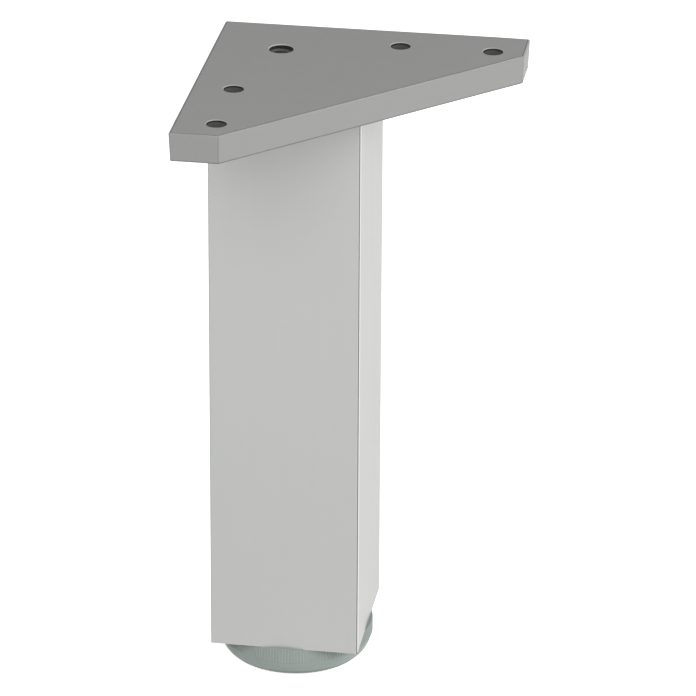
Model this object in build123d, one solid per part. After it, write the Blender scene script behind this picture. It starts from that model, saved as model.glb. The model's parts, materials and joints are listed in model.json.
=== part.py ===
from build123d import *
import math
import os

# A square metal table leg: a triangular cast mounting plate, a square tube under its corner, and a
# levelling foot that screws out of the tube's lower end. Millimetres, +Z up. The origin is on the
# tube's axis where the foot meets the floor; +X and -Y run along the plate's two equal edges.

# Leg tube, a square extrusion
tube_width = 50.0
tube_wall = 2.0
tube_corner = 0.6
tube_inner_corner = 0.5
tube_length = 194.5

# Mounting plate, a die casting: a right-angled triangle with both sharp corners clipped
plate_leg = 101.5
plate_clip = 16.0
plate_thickness = 9.5
plate_margin = 3.5
plate_draft = 2.4
plate_corner = 0.6
plate_edge = 0.4
plate_skin = 3.0
plate_rim = 3.0
seat_margin = 1.0
plate_web = 2.0
plate_web_spacing = 20.0

# Spigot under the plate, pressed into the tube
spigot_depth = 14.0
spigot_wall = 3.0
spigot_lead = 0.8
insert_corner = 1.5
press_gap = 0.1
crush_width = 2.0
crush_spacing = 24.0

# Fixing holes in the plate
hole_radius = 3.25
hole_edge = 13.5
hole_near = 60.5
hole_end = 10.5
hole_mouth = 0.25
hole_sink_radius = 5.5
hole_boss_wall = 1.5
thread_radius = 4.0
thread_edge = 22.5
thread_chamfer = 0.35
thread_boss_wall = 3.5

# End plug in the foot of the tube, moulded, with a steel nut seated in it from below
plug_height = 14.0
plug_wall = 2.0
plug_web = 2.0
plug_base = 3.0
plug_boss_radius = 12.5
nut_flats = 17.0
nut_height = 8.0
nut_recess = 0.5
nut_gap = 0.1
nut_chamfer = 0.6

# Levelling bolt, its hexagon head held in the foot disc
bolt_radius = 5.0
bolt_length = 30.0
bolt_tip = 1.0
head_flats = 16.0
head_height = 6.4
head_chamfer = 1.0
thread_gap = 0.05
bolt_gap = 0.1
plug_bolt_gap = 0.5

# Foot disc, moulded: a band of fine upright ribs over a rounded skirt
foot_drop = 11.5
foot_radius = 26.05
foot_flat_radius = 21.75
foot_round_height = 7.2
foot_bevel_angle = 43.0
rib_count = 160
rib_height = 0.25
rib_band = 4.9
rib_step = 0.03
core_top = 3.5
core_inner_radius = 11.5
core_outer_radius = 19.0
core_count = 8
core_web = 2.0

# Glide pad, a thin disc that snaps into the underside of the foot disc and turns in it
pad_radius = 20.8
pad_proud = 1.0
pad_seat = 1.2
pad_chamfer = 0.4
bead_width = 0.4
pad_gap = 0.1

# Heights of the faces where one piece meets the next
tube_base = foot_drop
plate_base = tube_base + tube_length
plate_top = plate_base + plate_thickness
pad_top = pad_proud + pad_seat
head_top = pad_top + head_height
nut_base = tube_base + nut_recess

# Widths inside the tube
tube_inner = tube_width - 2 * tube_wall
insert_width = tube_inner - 2 * press_gap
spigot_inner = insert_width - 2 * spigot_wall

# The plate's square corner, and the places of its holes
corner_x = -tube_width / 2 - plate_margin
corner_y = tube_width / 2 + plate_margin
hole_far = plate_leg - hole_end
hole_places = [
    (corner_x + across, corner_y - down)
    for across, down in (
        (hole_near, hole_edge),
        (hole_far, hole_edge),
        (hole_edge, hole_near),
        (hole_edge, hole_far),
    )
]
thread_place = (corner_x + thread_edge, corner_y - thread_edge)
hole_boss_radius = hole_sink_radius + hole_boss_wall
thread_boss_radius = thread_radius + thread_boss_wall


def rounded_square(width, corner):
    """A square of the given width with its four corners rounded."""
    return RectangleRounded(width, width, corner)


def square_bar(width, corner, low, high):
    """An upright square bar on the tube's axis, from one height to another."""
    return extrude(Pos(0, 0, low) * rounded_square(width, corner), high - low)


def rod(radius, low, high, x=0.0, y=0.0):
    """An upright round bar from one height to another."""
    return extrude(Pos(x, y, low) * Circle(radius), high - low)


def countersink(radius, width, mouth, x, y, upward=False):
    """A 45 degree cone that widens a hole by the given width at its mouth."""
    radii = (radius + width, radius) if upward else (radius, radius + width)
    middle = mouth + width / 2 if upward else mouth - width / 2
    return Pos(x, y, middle) * Cone(*radii, width)


def hexagon_radius(flats):
    """The radius through the corners of a hexagon, given by the distance across its flats."""
    return flats / 2 / math.cos(math.pi / 6)


def hexagon_bar(flats, low, high):
    """An upright six-sided bar, given by the distance across its flats."""
    return extrude(Pos(0, 0, low) * RegularPolygon(hexagon_radius(flats), 6), high - low)


def crush_ribs(low, high):
    """Eight upright ribs that fill the press gap, two on each side of a square insert."""
    offset_from_axis = insert_width / 2
    upright = Box(crush_width, 2 * press_gap, high - low)
    side = [Pos(s * crush_spacing / 2, offset_from_axis, (low + high) / 2) * upright for s in (-1, 1)]
    return [Rot(0, 0, 90 * turn) * rib for turn in range(4) for rib in side]


def plate_outline():
    """The plate's outline: the square corner, then round past both clipped corners."""
    return make_face(
        Polyline(
            (corner_x, corner_y),
            (corner_x + plate_leg, corner_y),
            (corner_x + plate_leg, corner_y - plate_clip),
            (corner_x + plate_clip, corner_y - plate_leg),
            (corner_x, corner_y - plate_leg),
            close=True,
        )
    )


def plate_pockets():
    """The cored areas beside the tube, between the rim, the tube's seat, the bosses and the webs."""
    area = offset(plate_outline(), amount=-plate_rim, kind=Kind.INTERSECTION)
    area -= rounded_square(tube_width + 2 * seat_margin, tube_corner + seat_margin)
    for x, y in hole_places:
        area -= Pos(x, y) * Circle(hole_boss_radius)
    cross_web = (hole_near + hole_far) / 2
    for along in (hole_edge, hole_edge + plate_web_spacing, cross_web):
        area -= Pos(corner_x + along, 0) * Rectangle(plate_web, 4 * plate_leg)
        area -= Pos(0, corner_y - along) * Rectangle(4 * plate_leg, plate_web)
    return area


def mounting_plate():
    """The casting: a drafted slab cored from below, with its spigot, bosses, webs and holes."""
    top_face = Pos(0, 0, plate_top) * plate_outline()
    slab = extrude(top_face, plate_thickness, dir=(0, 0, -1), taper=plate_draft)
    upright = slab.edges().filter_by(lambda edge: edge.bounding_box().size.Z > plate_thickness / 2)
    slab = fillet(upright, plate_corner)
    slab = chamfer(slab.edges().group_by(Axis.Z)[-1], plate_edge)
    pocket_height = plate_thickness - plate_skin
    slab -= extrude(Pos(0, 0, plate_base) * plate_pockets(), pocket_height)

    spigot_base = plate_base - spigot_depth
    spigot = square_bar(insert_width, insert_corner, spigot_base, plate_base)
    spigot = chamfer(spigot.faces().sort_by(Axis.Z)[0].edges(), spigot_lead)
    casting = slab + spigot + crush_ribs(spigot_base + 2 * spigot_lead, plate_base)
    casting -= square_bar(spigot_inner, tube_inner_corner, spigot_base, plate_base + pocket_height)

    x, y = thread_place
    middle = plate_base + pocket_height / 2
    casting += rod(thread_boss_radius, plate_base, plate_base + pocket_height, x, y)
    casting += Pos(0, y, middle) * Box(insert_width - spigot_wall, plate_web, pocket_height)
    casting += Pos(x, 0, middle) * Box(plate_web, insert_width - spigot_wall, pocket_height)

    casting -= rod(thread_radius, plate_base, plate_top, x, y)
    casting -= countersink(thread_radius, thread_chamfer, plate_top, x, y)
    sink_width = hole_sink_radius - hole_radius
    for x, y in hole_places:
        casting -= rod(hole_radius, plate_base, plate_top, x, y)
        casting -= countersink(hole_radius, hole_mouth, plate_top, x, y)
        casting -= countersink(hole_radius, sink_width, plate_base, x, y, upward=True)
    return casting


def leg_tube():
    """The square tube, cut off square at both ends."""
    outside = square_bar(tube_width, tube_corner, tube_base, plate_base)
    return outside - square_bar(tube_inner, tube_inner_corner, tube_base, plate_base)


def end_plug():
    """The moulded plug: a shallow box with a boss for the nut, braced by four webs."""
    top = tube_base + plug_height
    floor_top = tube_base + plug_base
    plug = square_bar(insert_width, insert_corner, tube_base, top)
    plug -= square_bar(insert_width - 2 * plug_wall, tube_inner_corner, floor_top, top)
    plug += rod(plug_boss_radius, floor_top, top)
    middle = (floor_top + top) / 2
    for turn in (0, 90):
        web = Box(insert_width - plug_wall, plug_web, top - floor_top)
        plug += Pos(0, 0, middle) * Rot(0, 0, turn) * web
    plug += crush_ribs(tube_base, top - spigot_lead)
    plug -= hexagon_bar(nut_flats + 2 * nut_gap, tube_base, nut_base + nut_height)
    return plug - rod(bolt_radius + plug_bolt_gap, tube_base, top)


def levelling_nut():
    """The hexagon nut in the plug, both mouths of its bore chamfered."""
    nut = hexagon_bar(nut_flats, nut_base, nut_base + nut_height)
    nut -= rod(bolt_radius + thread_gap, nut_base, nut_base + nut_height)
    return chamfer(nut.edges().filter_by(GeomType.CIRCLE), nut_chamfer)


def levelling_bolt():
    """The bolt: a hexagon head in the disc and a plain bar of the thread's outside diameter."""
    head = hexagon_bar(head_flats, pad_top, head_top)
    crown = rod(hexagon_radius(head_flats), pad_top, head_top)
    crown = chamfer(crown.edges().group_by(Axis.Z)[0], head_chamfer)
    shank = rod(bolt_radius, head_top, head_top + bolt_length)
    shank = chamfer(shank.edges().group_by(Axis.Z)[-1], bolt_tip)
    return (head & crown) + shank


def foot_skirt(top):
    """The smooth lower body, up to the ribbed band, and its radius there.

    Its edge is part of a quarter ellipse, which leaves the flat underside on a straight bevel.
    """
    round_width = foot_radius - foot_flat_radius
    round_top = pad_proud + foot_round_height
    bevel_slope = math.tan(math.radians(foot_bevel_angle))
    low_angle = math.degrees(math.atan(bevel_slope * round_width / foot_round_height))
    high_angle = math.degrees(math.acos((round_top - top) / foot_round_height))
    centre = (foot_flat_radius, round_top)
    edge = EllipticalCenterArc(
        centre, round_width, foot_round_height, 270 + low_angle, arc_size=high_angle - low_angle
    )
    start = edge @ 0
    bevel_foot = (start.X - (start.Y - pad_proud) / bevel_slope, pad_proud)
    outline = Polyline(edge @ 1, (0, top), (0, pad_proud), bevel_foot, start)
    section = Plane.XZ * make_face(edge + outline)
    return revolve(section, Axis.Z), (edge @ 1).X


def ribbed_band(valley_radius, low, high):
    """The hand grip: a bar whose outline zigzags between the valleys and crests of its ribs."""
    half_pitch = math.pi / rib_count
    radii = (valley_radius, valley_radius + rib_height)
    points = [
        (radii[i % 2] * math.cos(i * half_pitch), radii[i % 2] * math.sin(i * half_pitch))
        for i in range(2 * rib_count)
    ]
    return extrude(Pos(0, 0, low) * make_face(Polyline(*points, close=True)), high - low)


def foot_disc():
    """The moulded disc, cored from below, with seats for the bolt's head and the glide pad."""
    band_base = foot_drop - rib_band
    skirt, skirt_radius = foot_skirt(band_base)
    disc = skirt + ribbed_band(skirt_radius + rib_step, band_base, foot_drop)

    ring = rod(core_outer_radius, pad_top, foot_drop - core_top)
    ring -= rod(core_inner_radius, pad_top, foot_drop - core_top)
    web = Box(2 * core_outer_radius, core_web, foot_drop)
    for spoke in range(core_count // 2):
        ring -= Pos(0, 0, foot_drop / 2) * Rot(0, 0, 360 / core_count * spoke) * web
    disc -= ring

    disc -= rod(pad_radius + pad_gap, pad_proud, pad_top)
    disc -= snap_bead(pad_radius + pad_gap)
    disc -= hexagon_bar(head_flats + 2 * bolt_gap, pad_top, head_top)
    return disc - rod(bolt_radius + bolt_gap, head_top, foot_drop)


def snap_bead(radius):
    """The sharp bead round a disc of that radius, halfway up the pad's seat: two cones, base to base."""
    middle = pad_proud + pad_seat / 2
    lower = Pos(0, 0, middle - bead_width / 2) * Cone(radius, radius + bead_width, bead_width)
    upper = Pos(0, 0, middle + bead_width / 2) * Cone(radius + bead_width, radius, bead_width)
    return lower + upper


def glide_pad():
    """The pad that stands on the floor, with the bead that snaps into the disc."""
    pad = rod(pad_radius, 0, pad_top)
    pad = chamfer(pad.edges().group_by(Axis.Z)[0], pad_chamfer)
    return pad + snap_bead(pad_radius)


nodes = {
    "mounting_plate": mounting_plate,
    "leg_tube": leg_tube,
    "end_plug": end_plug,
    "levelling_nut": levelling_nut,
    "levelling_bolt": levelling_bolt,
    "foot_disc": foot_disc,
    "glide_pad": glide_pad,
}

os.makedirs("parts", exist_ok=True)
for name, make in nodes.items():
    shape = make()
    export_step(shape, f"parts/{name}.step")
    size = shape.bounding_box().size
    print(f"{name}: {shape.volume / 1000:.2f} cm3, {size.X:.2f} x {size.Y:.2f} x {size.Z:.2f} mm")
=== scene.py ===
# %% [markdown]
# This scene dresses a square metal table leg: a painted cast plate on top, a satin tube below it, and a
# grey-green foot that screws out of the tube. The solids come ready made and stay exactly where they
# are. What is added here is the finish of every surface and the two fine screw threads.

# %% Load the solids
import json
import math

import bpy
import numpy as np
from mathutils import Matrix, Vector


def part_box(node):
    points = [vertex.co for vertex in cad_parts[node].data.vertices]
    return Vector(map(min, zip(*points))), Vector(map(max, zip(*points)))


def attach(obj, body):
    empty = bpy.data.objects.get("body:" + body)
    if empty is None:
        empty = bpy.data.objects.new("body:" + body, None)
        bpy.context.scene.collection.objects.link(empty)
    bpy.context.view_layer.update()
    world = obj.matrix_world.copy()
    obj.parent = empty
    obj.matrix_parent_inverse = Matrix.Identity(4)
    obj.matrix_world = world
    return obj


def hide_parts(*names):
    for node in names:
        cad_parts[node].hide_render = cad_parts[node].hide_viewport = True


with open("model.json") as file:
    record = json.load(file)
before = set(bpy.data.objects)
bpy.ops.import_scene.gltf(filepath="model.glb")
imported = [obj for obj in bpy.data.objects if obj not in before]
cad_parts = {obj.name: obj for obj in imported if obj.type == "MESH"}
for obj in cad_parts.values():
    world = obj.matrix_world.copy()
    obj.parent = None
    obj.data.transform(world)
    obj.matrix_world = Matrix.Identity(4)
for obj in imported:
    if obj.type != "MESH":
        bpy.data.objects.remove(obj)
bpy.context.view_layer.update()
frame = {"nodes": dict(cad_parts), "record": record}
nodes = frame["nodes"]
mm = 0.001
print("solids:", ", ".join(sorted(nodes)))

# %% [markdown]
# The camera comes first, because every later choice is judged through it. A product picture like this is
# taken with a long lens from a distance, so that upright edges stay almost parallel. The place and the
# focal length were worked out from the corners of the tube and of the plate, whose real sizes are known.

# %% Set the camera
camera_place = Vector((0.25207, -1.50681, 0.80039))
camera_forward = Vector((-0.14024, 0.90077, -0.41104)).normalized()
camera_roll = math.radians(0.303)
camera_lens_mm = 259.9
sensor_mm = 36.0


def look_along(forward, roll):
    """A rotation whose -Z is the view direction; its X is level, then turned about the view by roll."""
    level = forward.cross(Vector((0, 0, 1))).normalized()
    upright = level.cross(forward)
    right = math.cos(roll) * level + math.sin(roll) * upright
    up = math.cos(roll) * upright - math.sin(roll) * level
    return Matrix((right, up, -forward)).transposed()


camera_data = bpy.data.cameras.new("camera")
camera_data.sensor_width = sensor_mm
camera_data.lens = camera_lens_mm
camera_data.clip_end = 20.0
camera = bpy.data.objects.new("camera", camera_data)
camera.matrix_world = Matrix.Translation(camera_place) @ look_along(camera_forward, camera_roll).to_4x4()
bpy.context.scene.collection.objects.link(camera)
bpy.context.scene.camera = camera
bpy.context.scene.view_settings.view_transform = "Standard"
print("camera height above the floor, m:", round(camera_place.z, 3))

# %% [markdown]
# Nodes are easier to read when a whole node is one line of code. The first helper adds a node, sets its
# options, and fills its inputs: a socket from another node is linked, and anything else is a plain value.
# The second is one step of arithmetic, and the third sorts the rays that see a surface from those that
# carry its light.


# %% Helpers that add shader nodes
def add_node(tree, kind, inputs=None, **options):
    """Adds a node, sets its options, and links or sets its inputs by name or by number."""
    node = tree.nodes.new(kind)
    for name, value in options.items():
        setattr(node, name, value)
    for name, value in (inputs or {}).items():
        if isinstance(value, bpy.types.NodeSocket):
            tree.links.new(value, node.inputs[name])
        else:
            node.inputs[name].default_value = value
    return node


def calculate(tree, operation, first, second):
    """One step of arithmetic on sockets or plain numbers."""
    return add_node(tree, "ShaderNodeMath", {0: first, 1: second}, operation=operation).outputs[0]


def seen_directly(tree):
    """1 for a ray from the camera, from a mirror or through glass, and 0 for one that gathers light."""
    path = add_node(tree, "ShaderNodeLightPath").outputs
    seen = calculate(tree, "MAXIMUM", path["Is Camera Ray"], path["Is Glossy Ray"])
    return calculate(tree, "MAXIMUM", seen, path["Is Transmission Ray"])


# %% [markdown]
# The picture has a pure white background and soft light with no hard shadow. The white is not made with
# more light: the world is white only for the camera and for reflections, and lights the leg at a lower
# level. That keeps the pale tube from washing out.

# %% Set the world
white = (1.0, 1.0, 1.0, 1.0)
ambient_level = 0.14

world = bpy.data.worlds.new("studio")
world.use_nodes = True
bpy.context.scene.world = world
tree = world.node_tree
tree.nodes.clear()
level = add_node(
    tree, "ShaderNodeMapRange", {"Value": seen_directly(tree), "To Min": ambient_level, "To Max": 1.0}
)
sky = add_node(tree, "ShaderNodeBackground", {"Color": white, "Strength": level.outputs[0]})
add_node(tree, "ShaderNodeOutputWorld", {"Surface": sky.outputs[0]})
print("ambient level:", ambient_level)

# %% [markdown]
# Three large soft lamps do the rest. The one in front stands high enough for the plate to shade the head
# of the tube from it, which gives the soft fall in tone under the plate. The two on the right make the
# plate's long side and the tube's right side brighter than what faces the camera. Their powers were found
# by rendering each lamp alone and adding up the pictures, since light adds.

# %% Add the lamps
lamp_target = Vector((0, 0, 0.1))
lamp_distance = 1.6
lamp_size = 0.9


def soft_lamp(name, azimuth, elevation, watts):
    """A square area lamp that faces the leg. Azimuth 0 is the front and 90 the right, in degrees."""
    data = bpy.data.lights.new(name, "AREA")
    data.shape = "SQUARE"
    data.size = lamp_size
    data.energy = watts
    lamp = bpy.data.objects.new(name, data)
    around = math.radians(azimuth)
    rise = math.radians(elevation)
    back = Vector((math.sin(around) * math.cos(rise), -math.cos(around) * math.cos(rise), math.sin(rise)))
    facing = (-back).to_track_quat("-Z", "Y").to_matrix().to_4x4()
    lamp.matrix_world = Matrix.Translation(lamp_target + back * lamp_distance) @ facing
    bpy.context.scene.collection.objects.link(lamp)


soft_lamp("front_lamp", azimuth=-15, elevation=39, watts=14.2)
soft_lamp("right_lamp", azimuth=65, elevation=28, watts=12.0)
soft_lamp("side_lamp", azimuth=100, elevation=20, watts=8.2)

# %% [markdown]
# The floor is one large pale sheet. It reflects light up under the plate as a studio table does. For the
# camera it has a glow of its own, which carries it up to the pure white of the picture. Its lower side is
# clear, so that the leg can be looked at from below, and it lies a hair below the foot, since two surfaces
# in one place flicker. It rides on the glide pad, so it stays there even where the foot is screwed out.

# %% Lay the floor
floor_half = 6.0
floor_colour = (0.86, 0.86, 0.86, 1.0)
floor_glow = 0.86
floor_gap = 0.05 * mm

floor_mesh = bpy.data.meshes.new("floor")
corners = [(x * floor_half, y * floor_half, -floor_gap) for x, y in ((-1, -1), (1, -1), (1, 1), (-1, 1))]
floor_mesh.from_pydata(corners, [], [(0, 1, 2, 3)])
floor = bpy.data.objects.new("floor", floor_mesh)
bpy.context.scene.collection.objects.link(floor)
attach(floor, "glide")

floor_material = bpy.data.materials.new("floor")
floor_material.use_nodes = True
tree = floor_material.node_tree
tree.nodes.clear()
glow = calculate(tree, "MULTIPLY", seen_directly(tree), floor_glow)
sheet = add_node(
    tree,
    "ShaderNodeBsdfPrincipled",
    {
        "Base Color": floor_colour,
        "Roughness": 0.9,
        "Specular IOR Level": 0.0,
        "Emission Color": white,
        "Emission Strength": glow,
    },
)
clear = add_node(tree, "ShaderNodeBsdfTransparent")
from_below = add_node(tree, "ShaderNodeNewGeometry").outputs["Backfacing"]
either = add_node(tree, "ShaderNodeMixShader", {0: from_below, 1: sheet.outputs[0], 2: clear.outputs[0]})
add_node(tree, "ShaderNodeOutputMaterial", {"Surface": either.outputs[0]})
floor_mesh.materials.append(floor_material)
print("floor glow for the camera:", floor_glow)

# %% [markdown]
# No real surface is one flat colour. Three effects serve the finishes here, so each is a node group that
# is built once. The first is grain: noise that can be drawn out along the leg, for brushed metal, or left
# even, for cast and moulded skins. The second is drift: a slow, faint change of tone over centimetres.
# The third is a band: a mask that is 1 where a measured distance lies between two limits. It draws the
# fine lines that outline the edges, and it finds the walls of the holes. Nearly all of a noise lies between
# the two limits named here.

# %% Build the shared effects
noise_low = 0.3
noise_high = 0.7


def new_group(name, inputs, outputs):
    """An empty shader node group with the named number inputs, a Vector input, and number outputs."""
    group = bpy.data.node_groups.new(name, "ShaderNodeTree")
    group.interface.new_socket("Vector", in_out="INPUT", socket_type="NodeSocketVector")
    for socket in inputs:
        group.interface.new_socket(socket, in_out="INPUT", socket_type="NodeSocketFloat")
    for socket in outputs:
        group.interface.new_socket(socket, in_out="OUTPUT", socket_type="NodeSocketFloat")
    return group, group.nodes.new("NodeGroupInput"), group.nodes.new("NodeGroupOutput")


def build_grain():
    """Grain: noise at Scale per metre, drawn out Length times along Z, as Fine and as a coarser Cloud."""
    group, inside, outside = new_group("grain", ["Scale", "Length"], ["Fine", "Cloud"])
    scale = inside.outputs["Scale"]
    along = calculate(group, "DIVIDE", scale, inside.outputs["Length"])
    sizes = add_node(group, "ShaderNodeCombineXYZ", {"X": scale, "Y": scale, "Z": along})
    scaled = add_node(
        group,
        "ShaderNodeVectorMath",
        {0: inside.outputs["Vector"], 1: sizes.outputs[0]},
        operation="MULTIPLY",
    )
    fine = add_node(
        group,
        "ShaderNodeTexNoise",
        {"Vector": scaled.outputs[0], "Scale": 1.0, "Detail": 3.0, "Roughness": 0.6},
    )
    cloud = add_node(
        group,
        "ShaderNodeTexNoise",
        {"Vector": scaled.outputs[0], "Scale": 0.17, "Detail": 2.0, "Roughness": 0.5},
    )
    group.links.new(fine.outputs["Fac"], outside.inputs["Fine"])
    group.links.new(cloud.outputs["Fac"], outside.inputs["Cloud"])
    return group


def build_drift():
    """Drift: slow noise at Scale per metre, spread to run from 0 to 1."""
    group, inside, outside = new_group("drift", ["Scale"], ["Tone"])
    noise = add_node(
        group,
        "ShaderNodeTexNoise",
        {"Vector": inside.outputs["Vector"], "Scale": inside.outputs["Scale"], "Detail": 2.0},
    )
    spread = add_node(
        group,
        "ShaderNodeMapRange",
        {"Value": noise.outputs["Fac"], "From Min": noise_low, "From Max": noise_high},
    )
    group.links.new(spread.outputs[0], outside.inputs["Tone"])
    return group


def build_band():
    """Band: 1 where Value lies between Low and High, fading to 0 over Soft outside them."""
    group, inside, outside = new_group("band", ["Value", "Low", "High", "Soft"], ["Mask"])
    ends = []
    for more, less in (("Value", "Low"), ("High", "Value")):
        margin = calculate(group, "SUBTRACT", inside.outputs[more], inside.outputs[less])
        share = calculate(group, "DIVIDE", margin, inside.outputs["Soft"])
        end = add_node(group, "ShaderNodeMath", {0: share, 1: 1.0}, operation="ADD", use_clamp=True)
        ends.append(end.outputs[0])
    group.links.new(calculate(group, "MULTIPLY", *ends), outside.inputs["Mask"])
    return group


grain_group = build_grain()
drift_group = build_drift()
band_group = build_band()
print("shared effects:", grain_group.name, drift_group.name, band_group.name)

# %% [markdown]
# Every finish on the leg follows one plan: two close colours mixed by grain and drift, a roughness that
# follows the grain, and a bump of a hundredth of a millimetre or less. One function holds the plan, and
# each finish gives it its own numbers. What is the same all over is set on the shader's own sockets.


# %% A finish with grain
def new_finish(name):
    """A material with an empty node tree, its Object coordinates, its shader and its output."""
    material = bpy.data.materials.new(name)
    material.use_nodes = True
    tree = material.node_tree
    tree.nodes.clear()
    place = add_node(tree, "ShaderNodeTexCoord").outputs["Object"]
    shader = add_node(tree, "ShaderNodeBsdfPrincipled")
    add_node(tree, "ShaderNodeOutputMaterial", {"Surface": shader.outputs[0]})
    return material, tree, place, shader


def use_group(tree, group, inputs):
    """Places a shared effect in a tree."""
    return add_node(tree, "ShaderNodeGroup", inputs, node_tree=group)


def mix_colours(tree, share, first, second):
    """A colour between two, by a share from 0 to 1. Inputs 6 and 7 of the node are its two colours."""
    mix = add_node(tree, "ShaderNodeMix", {0: share, 6: first, 7: second}, data_type="RGBA")
    return mix.outputs[2]


def average(tree, first, second):
    """The number halfway between two."""
    return calculate(tree, "MULTIPLY", calculate(tree, "ADD", first, second), 0.5)


def grained_finish(
    name, dark, light, rough, grain_scale, bump, grain_length=1.0, drift_scale=18.0, **sockets
):
    """The common plan: colour and roughness between two ends by grain and drift, with a fine bump."""
    material, tree, place, shader = new_finish(name)
    grain = use_group(tree, grain_group, {"Vector": place, "Scale": grain_scale, "Length": grain_length})
    drift = use_group(tree, drift_group, {"Vector": place, "Scale": drift_scale})
    share = average(tree, grain.outputs["Fine"], drift.outputs["Tone"])
    colour = mix_colours(tree, share, (*dark, 1.0), (*light, 1.0))
    tree.links.new(colour, shader.inputs["Base Color"])
    roughness = add_node(
        tree,
        "ShaderNodeMapRange",
        {
            "Value": grain.outputs["Cloud"],
            "From Min": noise_low,
            "From Max": noise_high,
            "To Min": rough[0],
            "To Max": rough[1],
        },
    )
    tree.links.new(roughness.outputs[0], shader.inputs["Roughness"])
    relief = add_node(
        tree, "ShaderNodeBump", {"Height": grain.outputs["Fine"], "Strength": 1.0, "Distance": bump}
    )
    tree.links.new(relief.outputs[0], shader.inputs["Normal"])
    for socket, value in sockets.items():
        shader.inputs[socket.replace("_", " ")].default_value = value
    return material, tree, place, shader


# %% [markdown]
# A finish is then touched up with painted shade and painted highlights: at an edge, in a hole, at the foot
# of the disc.
# These helpers measure a distance on the surface, turn it into a mask, and lay a colour over what is
# there. A band that is open at one end runs on to a metre, which is further than anything on the leg.

# %% Helpers for touching up
soft_fade = 0.08 * mm
fine_fade = 0.05 * mm
thin_fade = 0.03 * mm
open_end = 1.0


def height_of(tree, place):
    """The height of a point of the surface above the floor."""
    return add_node(tree, "ShaderNodeSeparateXYZ", {"Vector": place}).outputs["Z"]


def from_axis(tree, place, centre):
    """How far a point lies from an upright axis."""
    offset = add_node(
        tree, "ShaderNodeVectorMath", {0: place, 1: (centre[0], centre[1], 0)}, operation="SUBTRACT"
    )
    level = add_node(
        tree, "ShaderNodeVectorMath", {0: offset.outputs[0], 1: (1, 1, 0)}, operation="MULTIPLY"
    )
    length = add_node(tree, "ShaderNodeVectorMath", {0: level.outputs[0]}, operation="LENGTH")
    return length.outputs["Value"]


def band(tree, value, low, high, fade=soft_fade):
    """The shared band effect on a measured value."""
    limits = {"Value": value, "Low": low, "High": high, "Soft": fade}
    return use_group(tree, band_group, limits).outputs["Mask"]


def both(tree, first, second):
    """A mask that is 1 only where two masks are."""
    return calculate(tree, "MULTIPLY", first, second)


def tint(tree, shader, mask, colour):
    """Lays a colour over what feeds the shader's Base Color, where the mask is 1."""
    socket = shader.inputs["Base Color"]
    tree.links.new(mix_colours(tree, mask, socket.links[0].from_socket, (*colour, 1.0)), socket)


# %% [markdown]
# The plate is a zinc casting under a matt grey paint. Such paint keeps a trace of the mould's fine orange
# peel, seen only where light rakes over it, so its grain is even in all directions and its bump is low.
# The thin dark lines along the top edges, the upright edges and the lower edge of the sides are painted
# shade: the shade at the small chamfered edges and in the gap under the plate. How far a point lies beyond
# the plate's outline is the largest of five numbers, one for each side, and the sides lean inwards by the
# draft of the mould. On an upright edge the second largest is near zero too.

# %% Plate paint
plate_low, plate_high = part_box("mounting_plate")
plate_thickness = 9.5 * mm
plate_base = plate_high.z - plate_thickness
plate_clip = 16.0 * mm
plate_lean = math.tan(math.radians(2.4))
plate_chamfer = 0.4 * mm
plate_flat = plate_high.z - 0.05 * mm
flat_fade = 0.01 * mm
edge_line = 0.3 * mm
# Colours of the painted shade lines along the plate's edges.
edge_shade_colour = (0.17, 0.17, 0.165)
corner_line = 0.1 * mm
corner_shade_colour = (0.24, 0.24, 0.235)

paint, tree, place, shader = grained_finish(
    "plate_paint",
    dark=(0.307, 0.307, 0.303),
    light=(0.312, 0.312, 0.308),
    rough=(0.46, 0.50),
    grain_scale=1600.0,
    bump=0.006 * mm,
    Specular_IOR_Level=0.12,
)
diagonal = 1 / math.sqrt(2)
plate_sides = [
    ((-1, 0), -plate_low.x),
    ((0, 1), plate_high.y),
    ((1, 0), plate_high.x),
    ((0, -1), -plate_low.y),
    ((diagonal, -diagonal), (plate_high.x - plate_high.y + plate_clip) * diagonal),
]
outermost = second = -open_end
for (along_x, along_y), reach in plate_sides:
    outward = (along_x, along_y, -plate_lean)
    dot = add_node(tree, "ShaderNodeVectorMath", {0: place, 1: outward}, operation="DOT_PRODUCT")
    side = calculate(tree, "SUBTRACT", dot.outputs["Value"], reach - plate_high.z * plate_lean)
    lesser = calculate(tree, "MINIMUM", outermost, side)
    second = calculate(tree, "MAXIMUM", second, lesser)
    outermost = calculate(tree, "MAXIMUM", outermost, side)
height = height_of(tree, place)
on_top = band(tree, height, plate_flat, open_end, flat_fade)
top_line = band(tree, outermost, -plate_chamfer - edge_line, -plate_chamfer)
# Painted shade: a dark line just inside the top edges.
tint(tree, shader, both(tree, on_top, top_line), edge_shade_colour)
on_sides = band(tree, height, plate_base, plate_high.z - plate_chamfer)
upright_line = band(tree, second, -corner_line, open_end)
# Painted shade: a dark line along the upright edges.
tint(tree, shader, both(tree, on_sides, upright_line), corner_shade_colour)
# Painted shade: a dark line along the lower edge of the sides, the shadow gap under the plate.
tint(tree, shader, band(tree, height, plate_base, plate_base + edge_line), edge_shade_colour)

# %% [markdown]
# The holes are cored through the casting. Their walls are darkened as painted shade, the shade inside a
# hole, and most of all in a thin line right under the mouth. The mouths are chamfered after painting, and
# the fine bright ring round each hole is that bare metal, made brighter as a painted highlight. The places
# and sizes of the holes come from the mounts in the record.

# %% Walls and mouths of the holes
mounts = {mount["name"]: mount for mount in frame["record"]["mounts"]}
tapped_centre = mounts["plate_thread"]["pos_m"]
tapped_radius = mounts["plate_thread"]["dims"]["r_mm"] * mm
tapped_mouth = 0.35 * mm
screw_mouth = 0.25 * mm
wall_skin = 0.03 * mm
depth_fade = 0.1 * mm
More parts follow.
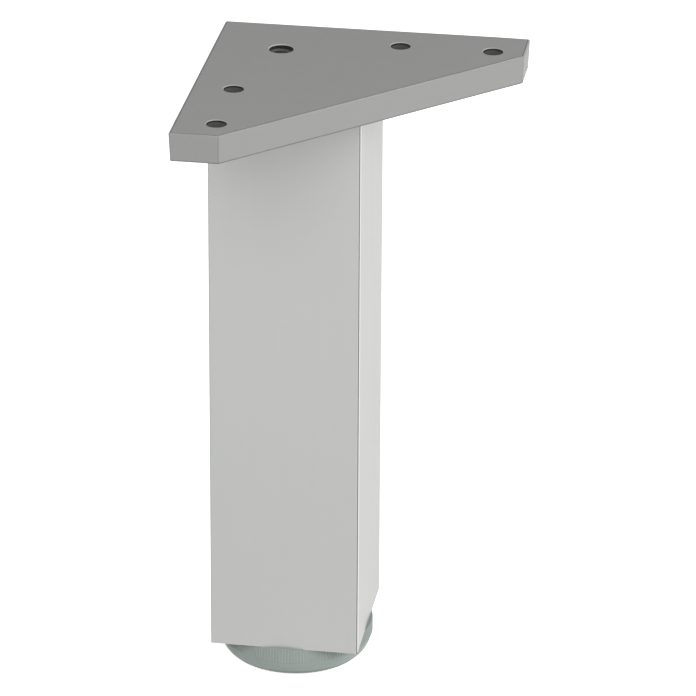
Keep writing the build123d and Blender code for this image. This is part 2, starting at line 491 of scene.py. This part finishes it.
# Colours of the painted highlight on the chamfer ring and of the painted shade on the hole walls.
bare_ring_highlight = (0.42, 0.42, 0.41)
hole_wall_shade = (0.095, 0.095, 0.092)
mouth_line = 0.6 * mm
mouth_shade = (0.025, 0.025, 0.024)

holes = [(tapped_centre, tapped_radius, tapped_mouth)]
for axis, letter in enumerate("xy"):
    mount = mounts["plate_screws_" + letter]
    for side in (-1, 1):
        centre = list(mount["pos_m"])
        centre[axis] += side * mount["dims"][f"spacing_{letter}_mm"] / 2 * mm
        holes.append((centre, mount["dims"]["hole_r_mm"] * mm, screw_mouth))
for centre, radius, mouth in holes:
    distance = from_axis(tree, place, centre)
    in_ring = band(tree, distance, radius, radius + mouth, fine_fade)
    near_top = band(tree, height, plate_high.z - mouth, open_end, fine_fade)
    # Painted highlight on the bare metal of the chamfer ring.
    tint(tree, shader, both(tree, in_ring, near_top), bare_ring_highlight)
    in_hole = band(tree, distance, 0.0, radius + wall_skin, thin_fade)
    # Painted shade on the hole walls, darkest in a thin line under the mouth.
    for depth, colour in ((mouth, mouth_shade), (mouth + mouth_line, hole_wall_shade)):
        below = band(tree, height, 0.0, plate_high.z - depth, depth_fade)
        tint(tree, shader, both(tree, in_hole, below), colour)
print("finish:", paint.name, "with", len(holes), "holes")

# %% [markdown]
# The tube is drawn aluminium, satin ground along its length and anodised, which gives it a soft, almost
# even grey. The grinding leaves hair-fine lines, so the same grain is drawn out sixty times along the leg.
#
# Only at a rounded corner does the sum of the distances from the two mid planes pass what it is on the
# flats. The front right corner gets a painted shade line on its rounding, with a painted highlight strip
# beside it on the right face, and the front left corner only a faint painted shade line. The two corners at
# the back are taken to be like those across the tube from them, so the strong marks go where x and y differ
# in sign.

# %% Tube metal
tube_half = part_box("leg_tube")[1].x
tube_corner = 0.6 * mm
flat_end = 2 * tube_half - tube_corner
flat_margin = 0.04 * mm
mark_start = -0.3 * tube_corner
side_strip = 1.8 * mm
# Colours of the painted highlight strip and of the painted shade lines on the corners.
corner_highlight = (0.64, 0.645, 0.635)
corner_shade_dark = (0.13, 0.13, 0.127)
corner_shade_faint = (0.34, 0.34, 0.33)

metal, tree, place, shader = grained_finish(
    "tube_metal",
    dark=(0.406, 0.411, 0.398),
    light=(0.418, 0.423, 0.410),
    rough=(0.40, 0.46),
    grain_scale=2600.0,
    grain_length=60.0,
    bump=0.002 * mm,
    Metallic=0.44,
)
signed = add_node(tree, "ShaderNodeSeparateXYZ", {"Vector": place}).outputs
from_middle = add_node(tree, "ShaderNodeVectorMath", {0: place}, operation="ABSOLUTE")
apart = add_node(tree, "ShaderNodeSeparateXYZ", {"Vector": from_middle.outputs[0]}).outputs
corner_sum = calculate(tree, "ADD", apart["X"], apart["Y"])
sideways = calculate(tree, "SUBTRACT", apart["X"], apart["Y"])
on_diagonal = calculate(tree, "LESS_THAN", calculate(tree, "MULTIPLY", signed["X"], signed["Y"]), 0.0)
on_corner = band(tree, corner_sum, flat_end + flat_margin, open_end, thin_fade)
side_half = band(tree, sideways, mark_start, tube_corner, fine_fade)
corner_shade_mask = both(tree, on_corner, side_half)
highlight_strip = band(tree, sideways, tube_corner, tube_corner + side_strip, fine_fade)
# Painted highlight strip beside the front right and back left corners.
tint(tree, shader, both(tree, highlight_strip, on_diagonal), corner_highlight)
# Painted shade lines on every rounded corner, darkest on those two.
tint(tree, shader, corner_shade_mask, corner_shade_faint)
tint(tree, shader, both(tree, corner_shade_mask, on_diagonal), corner_shade_dark)
print("finish:", metal.name)

# %% [markdown]
# The foot is a grey-green moulded plastic with a low sheen. Its upright ribs are real geometry in the
# solid, and the material adds the fine spark-eroded skin of the mould. The lowest edge of the foot is
# darkened to a thin line as painted shade, where it meets the floor. The pad under the foot is a smoother,
# darker plastic, and the plug inside the tube is black nylon.

# %% Plastics
# The lowest 1.5 mm of the foot is darkened as painted shade.
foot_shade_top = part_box("foot_disc")[0].z + 1.5 * mm
foot_shade_fade = 0.2 * mm
foot_edge_shade = (0.18, 0.205, 0.193)

foot_plastic, tree, place, shader = grained_finish(
    "foot_plastic",
    dark=(0.300, 0.342, 0.322),
    light=(0.318, 0.362, 0.341),
    rough=(0.42, 0.50),
    grain_scale=1900.0,
    bump=0.008 * mm,
    Specular_IOR_Level=0.25,
)
# Painted shade along the lowest edge of the foot.
tint(tree, shader, band(tree, height_of(tree, place), 0.0, foot_shade_top, foot_shade_fade), foot_edge_shade)
pad_plastic, *_ = grained_finish(
    "pad_plastic",
    dark=(0.09, 0.10, 0.10),
    light=(0.11, 0.12, 0.12),
    rough=(0.35, 0.45),
    grain_scale=900.0,
    bump=0.01 * mm,
)
plug_plastic, *_ = grained_finish(
    "plug_plastic",
    dark=(0.018, 0.018, 0.019),
    light=(0.030, 0.030, 0.031),
    rough=(0.45, 0.55),
    grain_scale=1200.0,
    bump=0.01 * mm,
)
print("finishes:", foot_plastic.name, pad_plastic.name, plug_plastic.name)

# %% [markdown]
# The bolt and the nut are zinc plated steel: a bright metal with a faint cool cloudiness. The tapped hole
# in the plate is bare cast metal, since paint is kept off a working thread; its colour is also darkened as
# painted shade, to about the darkness of the other hole walls, and its first turn is painted nearly black
# as the shade under the mouth.

# %% Plated and bare metal
# The nearly black first turn under the mouth is painted shade.
black_depth = 0.7 * mm
first_turn_shade = (0.008, 0.008, 0.008)

plated, *_ = grained_finish(
    "zinc_plating",
    dark=(0.52, 0.53, 0.55),
    light=(0.66, 0.67, 0.68),
    rough=(0.24, 0.36),
    grain_scale=700.0,
    drift_scale=160.0,
    bump=0.004 * mm,
    Metallic=1.0,
)
# The tapped metal's dark colour is partly painted shade, like the hole walls.
tapped, tree, place, shader = grained_finish(
    "tapped_zinc",
    dark=(0.105, 0.105, 0.102),
    light=(0.135, 0.135, 0.131),
    rough=(0.40, 0.50),
    grain_scale=1500.0,
    bump=0.004 * mm,
    Specular_IOR_Level=0.1,
)
black_end = plate_high.z - tapped_mouth - black_depth
# Painted shade: the first turn under the mouth is nearly black.
tint(tree, shader, band(tree, height_of(tree, place), black_end, open_end, depth_fade), first_turn_shade)
print("finishes:", plated.name, tapped.name)

# %% [markdown]
# A solid from the CAD side already has its form. It only needs its finish, which goes into its material
# slots. Its mesh and its place are never touched.

# %% Put the finishes on the solids
finish_of = {
    "mounting_plate": paint,
    "leg_tube": metal,
    "end_plug": plug_plastic,
    "levelling_nut": plated,
    "foot_disc": foot_plastic,
    "glide_pad": pad_plastic,
}
for name, material in finish_of.items():
    mesh = nodes[name].data
    mesh.materials.clear()
    mesh.materials.append(material)
    print(name, "->", material.name)

# %% [markdown]
# A screw thread is a surface of two parameters: the angle round the axis and the height. Its radius
# depends only on how far a point is from the nearest crest, measured along the axis, and that distance
# goes down by one pitch with each turn. So the whole thread is one formula on a grid, with no spiral to
# sweep. The flanks of a metric thread stand 60 degrees apart, which gives the slope in the formula.


# %% The thread formula and a mesh from a grid
flank_slope = math.sqrt(3)
flat_share = 1 / 16
flank_share = 5 / 16


def thread_radius(angle, height, outside, pitch):
    """The radius of a right-hand thread.

    The share of a pitch to the nearest crest is the distance of height / pitch - angle / turn from a whole
    number. The crest is flat for a sixteenth of a pitch on each side, then falls at the flank's slope for
    five sixteenths, and the root is flat again.
    """
    turns = height / pitch - angle / (2 * np.pi)
    from_crest = np.abs(turns - np.round(turns))
    return outside - pitch * flank_slope * np.clip(from_crest - flat_share, 0, flank_share)


def ring_mesh(name, radius, angle, height, poles=None):
    """A mesh from rings: row i, column j lies at radius[i, j], angle[j] and height[i, j].

    Each ring closes on itself. With poles, two heights, the first and last rings are closed by fans to
    points on the axis. Without, the last ring joins the first, as on the tube of a torus. Rows that rise
    and angles that grow make faces that point away from the axis.
    """
    rows, columns = radius.shape
    points = np.stack([radius * np.cos(angle), radius * np.sin(angle), height], -1).reshape(-1, 3)
    row, column = np.meshgrid(np.arange(rows - (poles is not None)), np.arange(columns), indexing="ij")
    after, above = (column + 1) % columns, (row + 1) % rows
    corners = [(row, column), (row, after), (above, after), (above, column)]
    faces = np.stack([i * columns + j for i, j in corners], -1).reshape(-1, 4).tolist()
    if poles is not None:
        ring = np.arange(columns)
        following = (ring + 1) % columns
        last = (rows - 1) * columns
        points = np.vstack([points, [(0, 0, poles[0]), (0, 0, poles[1])]])
        bottom = np.stack([following, ring, np.full(columns, rows * columns)], -1)
        top = np.stack([last + ring, last + following, np.full(columns, rows * columns + 1)], -1)
        faces += bottom.tolist() + top.tolist()
    mesh = bpy.data.meshes.new(name)
    mesh.from_pydata(points.tolist(), [], faces)
    mesh.validate()
    return mesh


def enclosed_volume(mesh):
    """The volume inside a closed mesh: a sixth of the sum of its triangles' triple products."""
    mesh.calc_loop_triangles()
    points = np.empty(len(mesh.vertices) * 3)
    mesh.vertices.foreach_get("co", points)
    corners = np.empty(len(mesh.loop_triangles) * 3, int)
    mesh.loop_triangles.foreach_get("vertices", corners)
    a, b, c = points.reshape(-1, 3)[corners.reshape(-1, 3)].transpose(1, 0, 2)
    return float(np.einsum("ij,ij->i", a, np.cross(b, c)).sum() / 6)


def finish_piece(name, mesh, material, body, centre=(0, 0), crease_degrees=35):
    """Puts a mesh at its centre, shades it, and makes it a piece that rides on a body."""
    mesh.transform(Matrix.Translation((centre[0], centre[1], 0)))
    mesh.shade_smooth()
    mesh.set_sharp_from_angle(angle=math.radians(crease_degrees))
    mesh.materials.append(material)
    piece = bpy.data.objects.new(name, mesh)
    bpy.context.scene.collection.objects.link(piece)
    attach(piece, body)
    print(f"{name}: {len(mesh.polygons)} faces, {enclosed_volume(mesh) / mm**3:.0f} mm3")
    return piece


# %% [markdown]
# The levelling bolt shows between the foot and the tube as soon as the foot is screwed out. In the solid
# its shank is a plain bar. Here the same bolt gets its thread: one grid from the middle of the head, over
# the hexagon and up the shank to the pointed end. The hexagon is a radius too: the distance to its nearest
# flat, divided by the cosine of the angle from that flat.

# %% Levelling bolt
bolt_low, bolt_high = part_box("levelling_bolt")
head_flat_radius = 8.0 * mm
head_height = 6.4 * mm
head_chamfer = 1.0 * mm
shank_radius = 5.0 * mm
shank_tip = 1.0 * mm
bolt_pitch = 1.5 * mm
bolt_runout = 1.2 * mm
bolt_columns = 72
rows_per_pitch = 14


def hexagon_radius(angle, flat_radius):
    """The radius of a hexagon with a corner at angle 0."""
    sector = np.pi / 3
    from_flat = np.mod(angle, sector) - sector / 2
    return flat_radius / np.cos(from_flat)


def make_bolt():
    """The bolt's rings: the head below, its flat top, the threaded shank, and the tip."""
    angle = np.arange(bolt_columns) * 2 * np.pi / bolt_columns
    head_top = bolt_low.z + head_height
    corner_radius = head_flat_radius / math.cos(math.pi / 6)
    rises = np.linspace(0, head_chamfer, 7)
    head_z = bolt_low.z + np.append(rises, head_height)
    crown = corner_radius - head_chamfer + np.minimum(head_z - bolt_low.z, head_chamfer)
    head = np.minimum(hexagon_radius(angle, head_flat_radius)[None, :], crown[:, None])

    steps = round((bolt_high.z - head_top) / bolt_pitch * rows_per_pitch)
    shank_z = np.linspace(head_top, bolt_high.z, steps + 1)
    cut = thread_radius(angle[None, :], shank_z[:, None], shank_radius, bolt_pitch)
    depth = np.clip((shank_z - head_top) / bolt_runout, 0, 1)[:, None]
    shank = shank_radius - (shank_radius - cut) * depth
    tip = shank_radius - shank_tip + (bolt_high.z - shank_z)
    shank = np.minimum(shank, tip[:, None])

    radius = np.vstack([head, shank])
    height = np.repeat(np.append(head_z, shank_z)[:, None], bolt_columns, axis=1)
    return ring_mesh("threaded_bolt", radius, angle, height, poles=(bolt_low.z, bolt_high.z))


bolt = finish_piece("threaded_bolt", make_bolt(), plated, "foot")
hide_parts("levelling_bolt")

# %% [markdown]
# The larger hole in the plate is tapped for a bolt from the table top. Its solid is a plain bore at the
# thread's outside radius, so the ridges are added as a thin lining: the same formula for the inner wall,
# and a plain outer wall sunk in the casting. The ridges start below the mouth on a 45 degree cone, as a
# countersunk thread does.

# %% Thread in the plate
lining_gap = 0.04 * mm
lining_wall = 0.2 * mm
tapped_pitch = 1.25 * mm
tapped_columns = 64


def make_lining():
    """The lining's rings, up the threaded inner wall and back down the plain outer wall."""
    angle = np.arange(tapped_columns) * 2 * np.pi / tapped_columns
    outside = tapped_radius - lining_gap
    mouth = plate_high.z - tapped_mouth - lining_gap
    foot = plate_base + lining_gap
    steps = round((mouth - foot) / tapped_pitch * rows_per_pitch)
    inner_z = np.linspace(foot, mouth, steps + 1)
    inner = thread_radius(angle[None, :], inner_z[:, None], outside, tapped_pitch)
    from_end = np.minimum(mouth - inner_z, inner_z - foot)
    inner = np.maximum(inner, (outside - from_end)[:, None])
    outer = np.full((2, tapped_columns), tapped_radius + lining_wall)
    radius = np.vstack([outer, inner[::-1]])
    height = np.concatenate([[foot, mouth], inner_z[::-1]])
    height = np.repeat(height[:, None], tapped_columns, axis=1)
    return ring_mesh("plate_thread_ridges", radius, angle, height)


finish_piece("plate_thread_ridges", make_lining(), tapped, "leg", tapped_centre[:2])
